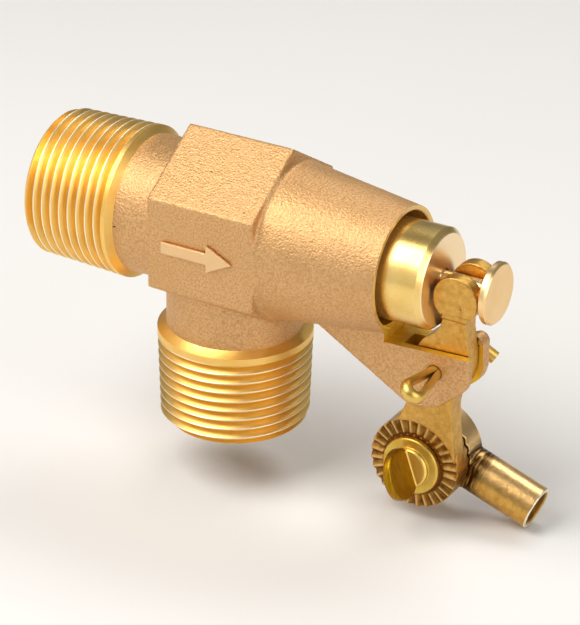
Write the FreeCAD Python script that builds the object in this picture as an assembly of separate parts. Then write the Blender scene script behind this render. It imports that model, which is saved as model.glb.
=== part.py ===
import FreeCAD, Part
import math
import os

# Float valve, 1 inch NPT male inlet and outlet.  Millimetres, +Z up.
# The origin is the centre of the inlet nipple's end face.  The inlet, the barrel and the
# plunger share the X axis, the outlet points straight down, and the float lever swings in
# the plane of X and Z about a cotter pin that lies along Y.
# The plunger is drawn open, as it sits with the float hanging low.

Vector = FreeCAD.Vector
ORIGIN = Vector(0, 0, 0)
ALONG_X = Vector(1, 0, 0)
ALONG_Y = Vector(0, 1, 0)
ALONG_Z = Vector(0, 0, 1)

# ---- 1 inch NPT thread ------------------------------------------------------------------
THREAD_PITCH = 2.209            # 11.5 threads per inch
THREAD_BIG_R = 16.70            # crest radius where the thread runs out (33.4 mm pipe size)
THREAD_TAPER = 1 / 32           # radius gained per millimetre of length
THREAD_FLAT = 0.20              # width of a crest and of a root
THREAD_DEPTH = (THREAD_PITCH / 2 - THREAD_FLAT) / math.tan(math.radians(30))

# ---- Body casting -----------------------------------------------------------------------
OUTLET_X = 43.3                 # axis of the outlet
INLET_THREAD = 20.1             # threaded length of the inlet
OUTLET_THREAD = 19.3            # threaded length of the outlet
OUTLET_FACE_Z = -44.2           # end face of the outlet
INLET_LAND = 1.0                # smooth ring beside the thread
OUTLET_LAND = 1.55
SHOULDER_CONE = 0.95            # machined cone from that ring down to the cast neck
INLET_NECK_R = 15.1
OUTLET_NECK_R = 14.75
NIPPLE_EDGE = 0.9               # chamfer on the end of each nipple

HEX_X0, HEX_X1 = 31.9, 57.2     # length of the hexagon block
HEX_FLAT_Y = 16.93              # front and back flats
HEX_SIDE_Z = 10.2               # height of the four side corners
HEX_APEX_Z = 20.7               # top and bottom corners
HEX_EDGE = 0.7                  # cast edge radius
BURIED = 4.0                    # how far joined shapes run into each other
PAST = 1.0                      # how far a cutter runs past the face it opens

BARREL_R0, BARREL_R1 = 13.75, 13.4
BARREL_END_X = 83.6
BARREL_ROOT_FILLET = 3.2
BARREL_EDGE = 0.45              # chamfer round the open end

# ---- Clevis under the barrel ------------------------------------------------------------
PIVOT = Vector(93.3, 0, -19.5)
NEAR_EAR_Y = -4.1               # outer faces of the two ears
FAR_EAR_Y = 5.5
SLOT_Y = 2.4                    # half the width of the slot between them
SLOT_X = 85.2
EAR_END_X = 101.1
CLEVIS_TOP_Z = -8.0             # the casting runs up to here inside the barrel
FLOOR_X, FLOOR_Z = 81.4, -15.6  # milled step in front of the barrel
FLOOR_RISE = 0.8                # the floor climbs this much over its length
LIP_CUT_Z = -11.0               # the same cutter takes the barrel's lip away up to here
GUSSET_SLOPE = math.radians(30.7)
GUSSET_FOOT = Vector(85.8, 0, -27.9)
PIN_HOLE_R = 1.75

# ---- Water way --------------------------------------------------------------------------
INLET_BORE_R = 11.9
OUTLET_BORE_R = 11.9
OUTLET_BORE_TOP = -17.0         # the port above it is narrower
PORT_R = 10.6
SEAT_WALL_X0, SEAT_WALL_X1 = 27.6, 33.6
SEAT_THREAD_R = 9.0
CHAMBER_R = 11.9
CHAMBER_X1 = 55.4
GUIDE_R = 10.91                 # 0.06 more than the plunger
MOUTH_R = 12.4
MOUTH_X = 75.0

SEAT_BORE_R = 6.0
SEAT_LIP_X = 38.0

# ---- Plunger ----------------------------------------------------------------------------
TRAVEL = 7.6
PLUNGER_R = 10.85
PLUNGER_FACE_X = 92.7
PLUNGER_BEVEL = 1.1
DISC_FACE_X = SEAT_LIP_X + TRAVEL + 0.1
DISC_R, DISC_THICK = 8.7, 3.2
DISC_PROUD = 0.8
PLUNGER_NOSE_X = DISC_FACE_X + DISC_PROUD
O_RING_X = (66.0, 70.5)
O_RING_WIRE = 0.87
STEM_R = 2.1
STEM_SHANK_R = 2.5
STEM_SHANK = 10.0
BUTTON_R = 6.65
BUTTON_X0, BUTTON_X1 = 103.7, 105.4

# ---- Lever ------------------------------------------------------------------------------
LOBE = Vector(98.1, 0, -1.2)    # centre of the two round fork lobes
LOBE_R = 5.05
LOBE_Y0, LOBE_Y1 = 2.45, 5.5
SADDLE_LEFT = Vector(94.3, 0, -4.6)
SADDLE_RIGHT = Vector(99.6, 0, -4.6)
WEB_Y = 2.2
BOSS = Vector(87.6, 0, -44.0)   # axis of the serrated boss and the thumb screw
BOSS_R = 10.2
BOSS_Y0, BOSS_Y1 = -1.3, 4.85
TEETH = 28
TOOTH_DEPTH = 0.75
TEETH_IN_R = 6.0
SCREW_CLEAR_R = 3.3

# ---- Rod arm ----------------------------------------------------------------------------
ARM_Y0, ARM_Y1 = 4.95, 10.9
ARM_ANGLE = 19.3                # degrees that the socket hangs below level
SOCKET_R = 4.8
SOCKET_Y = 8.8
SOCKET_LENGTH = 25.9            # from the boss axis to the mouth
SOCKET_ROOT = 11.4              # the cutter that made the teeth also trimmed the socket here
ROD_HOLE_R = 2.55               # tapping size of 1/4-20
ROD_HOLE_DEPTH = 14.0
ROD_HOLE_MOUTH, ROD_HOLE_MOUTH_R = 2.55, 4.1    # depth and radius of its countersink
HUB_R, HUB_Y = 6.6, 13.4

# ---- Thumb screw ------------------------------------------------------------------------
SCREW_R = 3.1
FLANGE_R = 6.5
FLANGE_Y = -2.7
CAP_R, CAP_Y = 4.4, -3.7
PADDLE_TILT = 19.5
PADDLE_THICK = 1.9
PADDLE_EDGE = 0.45

# ---- Cotter pin -------------------------------------------------------------------------
WIRE_R = 1.62                   # half round wire; two legs together make the pin
LEG_GAP = 0.06                  # between the flat sides of the legs
EYE_LENGTH = 12.0               # from the near ear to the front of the eye
EYE_HALF_WIDTH = 1.5            # inside the eye
EYE_NECK = 1.0                  # straight part in front of the near ear
EYE_TILT = math.radians(-37)    # direction of the eye's width in the X-Z plane
LEG_BEND_Y = 13.2
LEG_SPREAD, LEG_RAKE = 5.8, 1.4 # how far each bent end reaches sideways and backwards
EYE_CORNER_R, NECK_BEND_R, LEG_BEND_R = 1.3, 7.0, 3.4


def point(x, z, y=0.0):
    return Vector(x, y, z)


def polygon_face(points):
    return Part.Face(Part.makePolygon(points + [points[0]]))


def turned_on_x(profile):
    """Solid of revolution about the X axis from (x, radius) points."""
    face = polygon_face([Vector(x, 0, radius) for x, radius in profile])
    return face.revolve(ORIGIN, ALONG_X, 360)


def turned_on_y(profile, centre):
    """Solid of revolution about a line along Y through centre, from (y, radius) points."""
    face = polygon_face([centre + Vector(radius, y, 0) for y, radius in profile])
    return face.revolve(centre, ALONG_Y, 360)


def turned_on_z(profile, x):
    """Solid of revolution about a vertical line at x, from (z, radius) points."""
    face = polygon_face([Vector(x + radius, 0, z) for z, radius in profile])
    return face.revolve(Vector(x, 0, 0), ALONG_Z, 360)


def rod_x(radius, x0, x1):
    return Part.makeCylinder(radius, x1 - x0, Vector(x0, 0, 0), ALONG_X)


def rod_z(radius, z0, z1, x):
    return Part.makeCylinder(radius, z1 - z0, Vector(x, 0, z0), ALONG_Z)


def rod_y(radius, y0, y1, centre):
    return Part.makeCylinder(radius, y1 - y0, centre + Vector(0, y0, 0), ALONG_Y)


def slab_y(face, y0, y1):
    """Extrude a face drawn in the X-Z plane from y0 to y1."""
    moved = face.copy()
    moved.translate(Vector(0, y0, 0))
    return moved.extrude(Vector(0, y1 - y0, 0))


def one_solid(shape):
    solids = shape.removeSplitter().Solids
    if len(solids) != 1:
        raise ValueError("expected one solid, got %d" % len(solids))
    return solids[0]


def thread_profile(thread, land, neck_r, neck_end):
    """(distance from the end face, radius) down a tapered nipple and its neck."""
    def crest_r(distance):
        return THREAD_BIG_R - (thread - distance) * THREAD_TAPER

    flank = THREAD_PITCH / 2 - THREAD_FLAT
    crests = int(thread / THREAD_PITCH)
    profile = [(0, crest_r(0) - NIPPLE_EDGE)]
    for left in range(crests, 0, -1):
        rise = thread - left * THREAD_PITCH
        fall = rise + THREAD_FLAT
        root = fall + flank
        root_end = root + THREAD_FLAT
        profile.append((rise, crest_r(rise)))
        profile.append((fall, crest_r(fall)))
        profile.append((root, crest_r(root) - THREAD_DEPTH))
        profile.append((root_end, crest_r(root_end) - THREAD_DEPTH))
    profile.append((thread, THREAD_BIG_R))
    profile.append((thread + land, THREAD_BIG_R))
    profile.append((thread + land + SHOULDER_CONE, neck_r))
    profile.append((neck_end, neck_r))
    return profile


def inlet_nipple():
    profile = thread_profile(INLET_THREAD, INLET_LAND, INLET_NECK_R, HEX_X0 + BURIED)
    return turned_on_x([(0, 0)] + profile + [(HEX_X0 + BURIED, 0)])


def outlet_nipple():
    neck_end = -OUTLET_FACE_Z - BURIED
    profile = thread_profile(OUTLET_THREAD, OUTLET_LAND, OUTLET_NECK_R, neck_end)
    points = [(0, 0)] + profile + [(neck_end, 0)]
    return turned_on_z([(OUTLET_FACE_Z + down, radius) for down, radius in points], OUTLET_X)


def hexagon_block():
    corners = [
        (0, HEX_APEX_Z), (HEX_FLAT_Y, HEX_SIDE_Z), (HEX_FLAT_Y, -HEX_SIDE_Z),
        (0, -HEX_APEX_Z), (-HEX_FLAT_Y, -HEX_SIDE_Z), (-HEX_FLAT_Y, HEX_SIDE_Z),
    ]
    face = polygon_face([Vector(HEX_X0, y, z) for y, z in corners])
    block = face.extrude(Vector(HEX_X1 - HEX_X0, 0, 0))
    return block.makeFillet(HEX_EDGE, block.Edges)


def barrel():
    fillet = BARREL_ROOT_FILLET
    root = Vector(HEX_X1, 0, BARREL_R0 + fillet)
    foot = Vector(HEX_X1 + fillet, 0, BARREL_R0)
    bend = Vector(HEX_X1 + fillet * (1 - math.sqrt(0.5)), 0,
                  BARREL_R0 + fillet * (1 - math.sqrt(0.5)))
    edge = BARREL_EDGE
    corners = [
        foot, point(BARREL_END_X - edge, BARREL_R1), point(BARREL_END_X, BARREL_R1 - edge),
        point(BARREL_END_X, 0), point(HEX_X1 - BURIED, 0), point(HEX_X1 - BURIED, root.z), root,
    ]
    outline = [Part.Arc(root, bend, foot).toShape()]
    outline += [Part.makeLine(a, b) for a, b in zip(corners, corners[1:])]
    return Part.Face(Part.Wire(outline)).revolve(ORIGIN, ALONG_X, 360)


def clevis_outline():
    """Gusset and ears in the X-Z plane, before the slot and the milled step are cut."""
    run = math.cos(GUSSET_SLOPE)
    drop = math.sin(GUSSET_SLOPE)
    length = 31.0
    start = GUSSET_FOOT - Vector(length * run, 0, -length * drop)
    foot_end = point(90.2, -28.5)
    nose_low = point(94.6, -27.0)
    nose_high = point(100.2, -22.3)
    nose_top = point(EAR_END_X, -18.4)
    edges = [
        Part.makeLine(start, GUSSET_FOOT),
        Part.Arc(GUSSET_FOOT, point(87.9, -28.6), foot_end).toShape(),
        Part.Arc(foot_end, point(92.6, -28.1), nose_low).toShape(),
        Part.makeLine(nose_low, nose_high),
        Part.Arc(nose_high, point(100.95, -20.5), nose_top).toShape(),
        Part.makeLine(nose_top, point(EAR_END_X, CLEVIS_TOP_Z)),
        Part.makeLine(point(EAR_END_X, CLEVIS_TOP_Z), point(start.x, CLEVIS_TOP_Z)),
        Part.makeLine(point(start.x, CLEVIS_TOP_Z), start),
    ]
    return Part.Face(Part.Wire(edges))


def milled_step():
    """Flat cut across the top of the ears, with a wall just behind the barrel's mouth."""
    end_x = EAR_END_X + PAST
    outline = [
        point(FLOOR_X, FLOOR_Z), point(end_x, FLOOR_Z + FLOOR_RISE),
        point(end_x, LIP_CUT_Z), point(FLOOR_X, LIP_CUT_Z),
    ]
    return slab_y(polygon_face(outline), NEAR_EAR_Y - PAST, FAR_EAR_Y + PAST)


def flow_arrow():
    """Raised arrow on the front flat that shows which way the water runs."""
    shaft, head, height = 1.3, 3.1, 0.45
    x0, x1, x2 = 35.6, 46.5, 52.6
    outline = [
        point(x0, -shaft), point(x1, -shaft), point(x1, -head), point(x2, 0),
        point(x1, head), point(x1, shaft), point(x0, shaft),
    ]
    return slab_y(polygon_face(outline), -HEX_FLAT_Y - height, -HEX_FLAT_Y + BURIED)


def valve_body():
    ears = polygon_face([
        point(EAR_END_X, CLEVIS_TOP_Z), point(EAR_END_X + PAST, CLEVIS_TOP_Z),
        point(EAR_END_X + PAST, FLOOR_Z), point(BARREL_END_X, FLOOR_Z),
        point(BARREL_END_X, CLEVIS_TOP_Z),
    ])
    clevis = slab_y(clevis_outline(), NEAR_EAR_Y, FAR_EAR_Y)
    clevis = clevis.cut(slab_y(ears, NEAR_EAR_Y - PAST, FAR_EAR_Y + PAST))
    body = hexagon_block().fuse([inlet_nipple(), outlet_nipple(), barrel(), clevis, flow_arrow()])
    body = body.cut(milled_step()).fuse(slab_y(stop_lug_face(), SLOT_Y, FAR_EAR_Y))
    slot_length = EAR_END_X + PAST - SLOT_X
    slot = Part.makeBox(slot_length, 2 * SLOT_Y, -OUTLET_FACE_Z, Vector(SLOT_X, -SLOT_Y, OUTLET_FACE_Z))
    cuts = [
        slot,
        rod_x(INLET_BORE_R, -PAST, SEAT_WALL_X0),
        rod_x(SEAT_THREAD_R, SEAT_WALL_X0 - PAST, SEAT_WALL_X1 + PAST),
        rod_x(CHAMBER_R, SEAT_WALL_X1, CHAMBER_X1),
        rod_x(GUIDE_R, CHAMBER_X1 - PAST, MOUTH_X + PAST),
        rod_x(MOUTH_R, MOUTH_X, BARREL_END_X + PAST),
        rod_z(OUTLET_BORE_R, OUTLET_FACE_Z - PAST, OUTLET_BORE_TOP, OUTLET_X),
        rod_z(PORT_R, OUTLET_BORE_TOP - PAST, -SEAT_BORE_R, OUTLET_X),
        rod_y(PIN_HOLE_R, NEAR_EAR_Y - PAST, FAR_EAR_Y + PAST, PIVOT),
    ]
    for cut in cuts:
        body = body.cut(cut)
    return one_solid(body)


def stop_lug_face():
    """Hump on the far ear that stands a little higher than the milled floor."""
    x0, x1, base_z = 95.6, EAR_END_X, FLOOR_Z - PAST
    corner_low, corner_high = point(x1, -14.0), point(x1 - 2.0, -12.2)
    slope_foot = point(x0 + 1.2, -13.2)
    edges = [
        Part.makeLine(point(x1, base_z), corner_low),
        Part.Arc(corner_low, point(x1 - 0.7, -12.7), corner_high).toShape(),
        Part.makeLine(corner_high, slope_foot),
        Part.makeLine(slope_foot, point(x0, base_z)),
        Part.makeLine(point(x0, base_z), point(x1, base_z)),
    ]
    return Part.Face(Part.Wire(edges))


def seat_ring():
    """Replaceable seat, screwed into the wall between the inlet and the chamber."""
    gap, lead_in = 0.03, 0.6
    flange_r, nose_r, lip_r = 10.6, 8.3, 6.9
    thread_r = SEAT_THREAD_R - gap
    start_x = SEAT_WALL_X0 + 0.3
    flange_x0, flange_x1 = SEAT_WALL_X1 + gap, SEAT_WALL_X1 + 1.9
    return turned_on_x([
        (start_x, SEAT_BORE_R), (start_x, thread_r - lead_in),
        (start_x + lead_in, thread_r), (flange_x0, thread_r),
        (flange_x0, flange_r), (flange_x1, flange_r),
        (flange_x1, nose_r), (SEAT_LIP_X - 1.2, nose_r), (SEAT_LIP_X, lip_r),
        (SEAT_LIP_X, SEAT_BORE_R + 0.4), (SEAT_LIP_X - 0.5, SEAT_BORE_R),
    ])


def plunger():
    """Turned piston: disc pocket in its nose, two O-ring grooves, bevelled outer face."""
    groove_r = PLUNGER_R - 1.74
    half = O_RING_WIRE + 0.12
    pocket_x = DISC_FACE_X + DISC_THICK + 0.02
    screw_hole_r, screw_hole = 2.0, 9.0
    profile = [(PLUNGER_NOSE_X, DISC_R + 0.1), (PLUNGER_NOSE_X, PLUNGER_R - 0.5)]
    profile.append((PLUNGER_NOSE_X + 0.5, PLUNGER_R))
    for x in O_RING_X:
        profile += [(x - half, PLUNGER_R), (x - half, groove_r)]
        profile += [(x + half, groove_r), (x + half, PLUNGER_R)]
    profile += [
        (PLUNGER_FACE_X - PLUNGER_BEVEL, PLUNGER_R), (PLUNGER_FACE_X, PLUNGER_R - PLUNGER_BEVEL),
        (PLUNGER_FACE_X, STEM_SHANK_R), (PLUNGER_FACE_X - STEM_SHANK - 0.5, STEM_SHANK_R),
        (PLUNGER_FACE_X - STEM_SHANK - 0.5, 0), (pocket_x + screw_hole, 0),
        (pocket_x + screw_hole, screw_hole_r), (pocket_x, screw_hole_r),
        (pocket_x, DISC_R + 0.1),
    ]
    return turned_on_x(profile)


def plunger_stem():
    """Threaded shank, neck and button head that the fork of the lever pulls on."""
    shank_x = PLUNGER_FACE_X - STEM_SHANK
    bevel = 0.45
    return turned_on_x([
        (shank_x, 0), (shank_x, STEM_SHANK_R - 0.5), (shank_x + 0.5, STEM_SHANK_R - 0.02),
        (PLUNGER_FACE_X - 0.4, STEM_SHANK_R - 0.02), (PLUNGER_FACE_X, STEM_R),
        (BUTTON_X0, STEM_R), (BUTTON_X0, BUTTON_R - 0.25), (BUTTON_X0 + 0.25, BUTTON_R),
        (BUTTON_X1 - bevel, BUTTON_R), (BUTTON_X1, BUTTON_R - bevel), (BUTTON_X1, 0),
    ])


def seal_disc():
    return turned_on_x([
        (DISC_FACE_X, 2.1), (DISC_FACE_X, DISC_R - 0.2), (DISC_FACE_X + 0.2, DISC_R),
        (DISC_FACE_X + DISC_THICK, DISC_R), (DISC_FACE_X + DISC_THICK, 2.1),
    ])


def disc_washer():
    return turned_on_x([
        (DISC_FACE_X - 0.9, 2.1), (DISC_FACE_X - 0.9, 4.1), (DISC_FACE_X - 0.7, 4.3),
        (DISC_FACE_X - 0.02, 4.3), (DISC_FACE_X - 0.02, 2.1),
    ])


def disc_screw():
    """Round head screw with a driver slot that holds the washer and the seal disc."""
    head_x = DISC_FACE_X - 0.92
    head = turned_on_x([
        (head_x - 1.7, 0), (head_x - 1.7, 2.3), (head_x - 1.1, 3.1), (head_x, 3.1),
        (head_x, 1.95), (head_x + 11.5, 1.95), (head_x + 12.0, 1.4), (head_x + 12.0, 0),
    ])
    slot = Part.makeBox(1.0, 8, 0.8, Vector(head_x - 1.9, -4, -0.4))
    return one_solid(head.cut(slot))


def o_ring(x):
    return Part.makeTorus(PLUNGER_R + 0.045 - O_RING_WIRE, O_RING_WIRE, Vector(x, 0, 0), ALONG_X)


def tooth_gap(axis, y_face, depth_sign):
    """V groove that runs outward from axis in the face at y_face."""
    sections = []
    for radius in (TEETH_IN_R, BOSS_R + 0.6):
        half = math.pi * radius / TEETH
        depth = TOOTH_DEPTH * radius / BOSS_R * depth_sign
        lift = -0.3 * depth_sign
        wide = half * (1 + 0.3 / abs(depth))
        corners = [
            axis + Vector(radius, y_face + lift, wide),
            axis + Vector(radius, y_face + lift, -wide),
            axis + Vector(radius, y_face + depth, 0),
        ]
        sections.append(Part.makePolygon(corners + [corners[0]]))
    return Part.makeLoft(sections, True)


def cut_teeth(shape, axis, y_face, depth_sign):
    groove = tooth_gap(axis, y_face, depth_sign)
    grooves = []
    for index in range(TEETH):
        turned = groove.copy()
        turned.rotate(axis, ALONG_Y, 360 * index / TEETH)
        grooves.append(turned)
    return shape.cut(grooves)


def lever_outline():
    """Flat web of the lever, from the saddle under the stem down to the round boss."""
    hip = BOSS + Vector(-0.62, 0, 0.78) * BOSS_R
    left = [
        SADDLE_LEFT, point(93.6, -8.1), point(92.5, -10.8), point(90.2, -12.7),
        point(88.2, -15.4), point(87.0, -19.5), point(86.3, -27.0), point(85.3, -31.2), hip,
    ]
    right = [
        BOSS + Vector(10.0, 0, 0), point(97.0, -34.0), point(97.3, -25.2), point(99.6, -20.5),
        point(100.1, -15.0), point(99.3, -9.4), SADDLE_RIGHT,
    ]
    curve_left = Part.BSplineCurve()
    curve_left.interpolate(left)
    curve_right = Part.BSplineCurve()
    curve_right.interpolate(right)
    edges = [
        curve_left.toShape(), Part.makeLine(hip, BOSS), Part.makeLine(BOSS, right[0]),
        curve_right.toShape(), Part.makeLine(SADDLE_RIGHT, SADDLE_LEFT),
    ]
    return Part.Face(Part.Wire(edges))


def lobe_face():
    """Round lobe with a short skirt whose lower edge is nearly level."""
    skirt = [
        LOBE + Vector(-3.2, 0, -3.6), LOBE + Vector(-2.75, 0, -4.95),
        LOBE + Vector(2.85, 0, -5.75), LOBE + Vector(3.5, 0, -3.5),
    ]
    disc = Part.Face(Part.Wire(Part.makeCircle(LOBE_R, LOBE, ALONG_Y)))
    return disc.fuse(polygon_face(skirt)).removeSplitter().Faces[0]


def lever():
    web = slab_y(lever_outline(), -WEB_Y, WEB_Y)
    boss = rod_y(BOSS_R, BOSS_Y0, BOSS_Y1, BOSS)
    recess = rod_y(BOSS_R + 0.25, -WEB_Y - PAST, BOSS_Y0, BOSS)
    cheeks = [slab_y(lobe_face(), -LOBE_Y1, -LOBE_Y0), slab_y(lobe_face(), LOBE_Y0, LOBE_Y1)]
    bridge = polygon_face([SADDLE_LEFT, point(93.6, -7.4), point(99.5, -7.4), SADDLE_RIGHT])
    saddle = slab_y(bridge, -LOBE_Y0 - 0.3, LOBE_Y0 + 0.3)
    shape = web.cut(recess).fuse([boss, saddle] + cheeks)
    shape = cut_teeth(shape, BOSS, BOSS_Y0, 1)
    shape = cut_teeth(shape, BOSS, BOSS_Y1, -1)
    shape = shape.fuse(rod_y(TEETH_IN_R + 0.6, BOSS_Y0, BOSS_Y1, BOSS))
    shape = shape.cut(rod_y(SCREW_CLEAR_R, BOSS_Y0 - PAST, BOSS_Y1 + PAST, BOSS))
    shape = shape.cut(rod_y(PIN_HOLE_R, -WEB_Y - PAST, WEB_Y + PAST, PIVOT))
    return one_solid(shape)


def rod_arm():
    """Toothed disc with a socket for the float rod, clamped to the back of the lever."""
    disc = rod_y(BOSS_R, ARM_Y0, ARM_Y1, BOSS)
    hub = rod_y(HUB_R, ARM_Y1 - PAST, HUB_Y, BOSS)
    socket_base = BOSS + Vector(0, SOCKET_Y, 0)
    hole_base = socket_base + Vector(SOCKET_LENGTH - ROD_HOLE_DEPTH, 0, 0)
    mouth_base = socket_base + Vector(SOCKET_LENGTH - ROD_HOLE_MOUTH, 0, 0)
    socket = Part.makeCylinder(SOCKET_R, SOCKET_LENGTH, socket_base, ALONG_X)
    trim = rod_y(SOCKET_ROOT, BOSS_Y0, ARM_Y0, BOSS)
    hole = Part.makeCylinder(ROD_HOLE_R, ROD_HOLE_DEPTH + PAST, hole_base, ALONG_X)
    mouth = Part.makeCone(ROD_HOLE_R - 1.0, ROD_HOLE_MOUTH_R + 0.5, ROD_HOLE_MOUTH + 0.5,
                          mouth_base, ALONG_X)
    disc = cut_teeth(disc, BOSS, ARM_Y0, 1)
    disc = disc.fuse(rod_y(TEETH_IN_R + 0.6, ARM_Y0, ARM_Y1, BOSS))
    shape = disc.fuse([hub, socket.cut(trim)])
    shape = shape.cut([hole, mouth, rod_y(SCREW_R + 0.03, BOSS_Y0, HUB_Y + PAST, BOSS)])
    shape.rotate(BOSS, ALONG_Y, ARM_ANGLE)
    return one_solid(shape)


def paddle():
    """Spade shaped thumb tab that stands out from the cap of the screw."""
    root_y = CAP_Y + 0.3
    top, bottom = Vector(0, root_y, 4.3), Vector(0, root_y, -4.3)
    upper_tip, lower_tip = Vector(0, -11.2, 3.4), Vector(0, -11.0, -3.6)
    edges = [
        Part.Arc(top, Vector(0, -7.4, 5.6), upper_tip).toShape(),
        Part.Arc(upper_tip, Vector(0, -12.2, -0.6), lower_tip).toShape(),
        Part.Arc(lower_tip, Vector(0, -7.6, -5.4), bottom).toShape(),
        Part.makeLine(bottom, top),
    ]
    face = Part.Face(Part.Wire(edges))
    face.translate(Vector(-PADDLE_THICK / 2, 0, 0))
    tab = face.extrude(Vector(PADDLE_THICK, 0, 0))
    tab = tab.makeFillet(PADDLE_EDGE, [edge for edge in tab.Edges if edge.BoundBox.YMin < root_y - 0.1])
    tab.rotate(ORIGIN, ALONG_Y, -PADDLE_TILT)
    tab.translate(BOSS)
    return tab


def thumb_screw():
    under_y, tip_y = BOSS_Y0 - 0.05, HUB_Y - 0.2
    cap_edge, flange_edge, tip_edge = 0.3, 0.25, 0.6
    shank = turned_on_y([
        (CAP_Y, 0), (CAP_Y, CAP_R - cap_edge), (CAP_Y + cap_edge, CAP_R), (FLANGE_Y, CAP_R),
        (FLANGE_Y, FLANGE_R - flange_edge), (FLANGE_Y + flange_edge, FLANGE_R),
        (under_y, FLANGE_R), (under_y, SCREW_R), (tip_y - tip_edge, SCREW_R),
        (tip_y, SCREW_R - tip_edge), (tip_y, 0),
    ], BOSS)
    return one_solid(shank.fuse(paddle()))


def rounded_path(points, radii):
    """Wire of straight runs joined by tangent arcs, one radius for each inner point."""
    edges = []
    here = points[0]
    for before, corner, after, radius in zip(points, points[1:], points[2:], radii):
        back = before.sub(corner).normalize()
        ahead = after.sub(corner).normalize()
        half_turn = (math.pi - back.getAngle(ahead)) / 2
        reach = radius * math.tan(half_turn)
        start, end = corner + back * reach, corner + ahead * reach
        inward = (back + ahead).normalize()
        middle = corner + inward * (radius / math.cos(half_turn) - radius)
        edges.append(Part.makeLine(here, start))
        edges.append(Part.Arc(start, middle, end).toShape())
        here = end
    edges.append(Part.makeLine(here, points[-1]))
    return Part.Wire(edges)


def cotter_pin():
    """Split pin of half round wire: an eye in front, two legs through the ears, spread behind."""
    wide = Vector(math.cos(EYE_TILT), 0, math.sin(EYE_TILT))

    def at(across, y):
        return PIVOT + wide * across + Vector(0, y, 0)

    front = NEAR_EAR_Y - EYE_LENGTH + WIRE_R
    neck = NEAR_EAR_Y - EYE_NECK
    leg = LEG_GAP / 2
    tip_y = LEG_BEND_Y + LEG_RAKE
    half_way = [(leg + LEG_SPREAD, tip_y), (leg, LEG_BEND_Y), (leg, neck), (EYE_HALF_WIDTH, front)]
    points = [at(across, y) for across, y in half_way]
    points += [at(-across, y) for across, y in half_way[::-1]]
    bends = [LEG_BEND_R, NECK_BEND_R, EYE_CORNER_R]
    path = rounded_path(points, bends + bends[::-1])
    normal = wide.cross(ALONG_Y)
    outward = normal.cross(points[1].sub(points[0])).normalize()
    edge_a, edge_b = points[0] + normal * WIRE_R, points[0] - normal * WIRE_R
    arc = Part.Arc(edge_a, points[0] + outward * WIRE_R, edge_b).toShape()
    pipe = Part.BRepOffsetAPI.MakePipeShell(path)
    pipe.setBiNormalMode(normal)
    pipe.add(Part.Wire([arc, Part.makeLine(edge_b, edge_a)]))
    pipe.build()
    pipe.makeSolid()
    return one_solid(pipe.shape())


NODES = {
    "valve_body": valve_body,
    "seat_ring": seat_ring,
    "plunger": plunger,
    "plunger_stem": plunger_stem,
    "seal_disc": seal_disc,
    "disc_washer": disc_washer,
    "disc_screw": disc_screw,
    "o_ring_inner": lambda: o_ring(O_RING_X[0]),
    "o_ring_outer": lambda: o_ring(O_RING_X[1]),
    "lever": lever,
    "rod_arm": rod_arm,
    "thumb_screw": thumb_screw,
    "cotter_pin": cotter_pin,
}

os.makedirs("parts", exist_ok=True)
for name, build in NODES.items():
    shape = build()
    box = shape.BoundBox
    print("%-14s valid %s volume %.1f  x %.2f..%.2f  y %.2f..%.2f  z %.2f..%.2f" % (
        name, shape.isValid(), shape.Volume,
        box.XMin, box.XMax, box.YMin, box.YMax, box.ZMin, box.ZMax))
    shape.exportStep("parts/" + name + ".step")
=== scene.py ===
import cmath
import math

import bmesh
import bpy
from mathutils import Matrix, Vector, noise


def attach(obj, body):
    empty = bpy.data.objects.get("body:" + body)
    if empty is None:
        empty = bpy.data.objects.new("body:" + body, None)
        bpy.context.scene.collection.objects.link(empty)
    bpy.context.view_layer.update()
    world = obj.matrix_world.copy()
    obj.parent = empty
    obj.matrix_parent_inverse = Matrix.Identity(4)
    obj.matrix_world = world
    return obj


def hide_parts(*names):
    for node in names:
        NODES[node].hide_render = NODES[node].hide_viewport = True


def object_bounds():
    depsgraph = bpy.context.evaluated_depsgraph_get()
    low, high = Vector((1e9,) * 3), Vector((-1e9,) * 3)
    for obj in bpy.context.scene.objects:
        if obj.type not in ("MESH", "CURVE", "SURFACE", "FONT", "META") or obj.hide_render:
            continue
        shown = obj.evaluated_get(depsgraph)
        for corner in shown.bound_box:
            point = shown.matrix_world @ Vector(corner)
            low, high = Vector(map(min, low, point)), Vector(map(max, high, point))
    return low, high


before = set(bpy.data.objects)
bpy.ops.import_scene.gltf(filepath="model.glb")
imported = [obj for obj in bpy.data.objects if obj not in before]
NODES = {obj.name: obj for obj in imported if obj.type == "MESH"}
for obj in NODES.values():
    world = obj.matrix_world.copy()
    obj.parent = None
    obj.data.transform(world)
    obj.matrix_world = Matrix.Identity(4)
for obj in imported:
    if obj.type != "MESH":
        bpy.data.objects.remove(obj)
CAD_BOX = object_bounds()
MM = 0.001

# ---- Sizes of the casting in millimetres, the same as in the CAD model ------------------
PITCH = 2.209                   # 1 inch NPT, 11.5 threads per inch
THREAD_BIG_R = 16.70
THREAD_TAPER = 1 / 32
THREAD_DEPTH = 1.567
CREST_FLAT, CREST_ROUND, CREST_DROP = 0.12, 0.10, 0.07
ROOT_FLAT = 0.20
THREAD_COLUMNS = 128
OUTLET_X, OUTLET_FACE_Z = 43.3, -44.2
INLET_THREAD, OUTLET_THREAD = 20.1, 19.3
INLET_LAND, OUTLET_LAND = 1.0, 1.55
SHOULDER_CONE = 0.95
INLET_NECK_R, OUTLET_NECK_R = 15.1, 14.75
NIPPLE_EDGE = 0.9
INLET_CREST, OUTLET_CREST = 0.42, 1.73  # first crest facing the camera, from the end face

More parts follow.
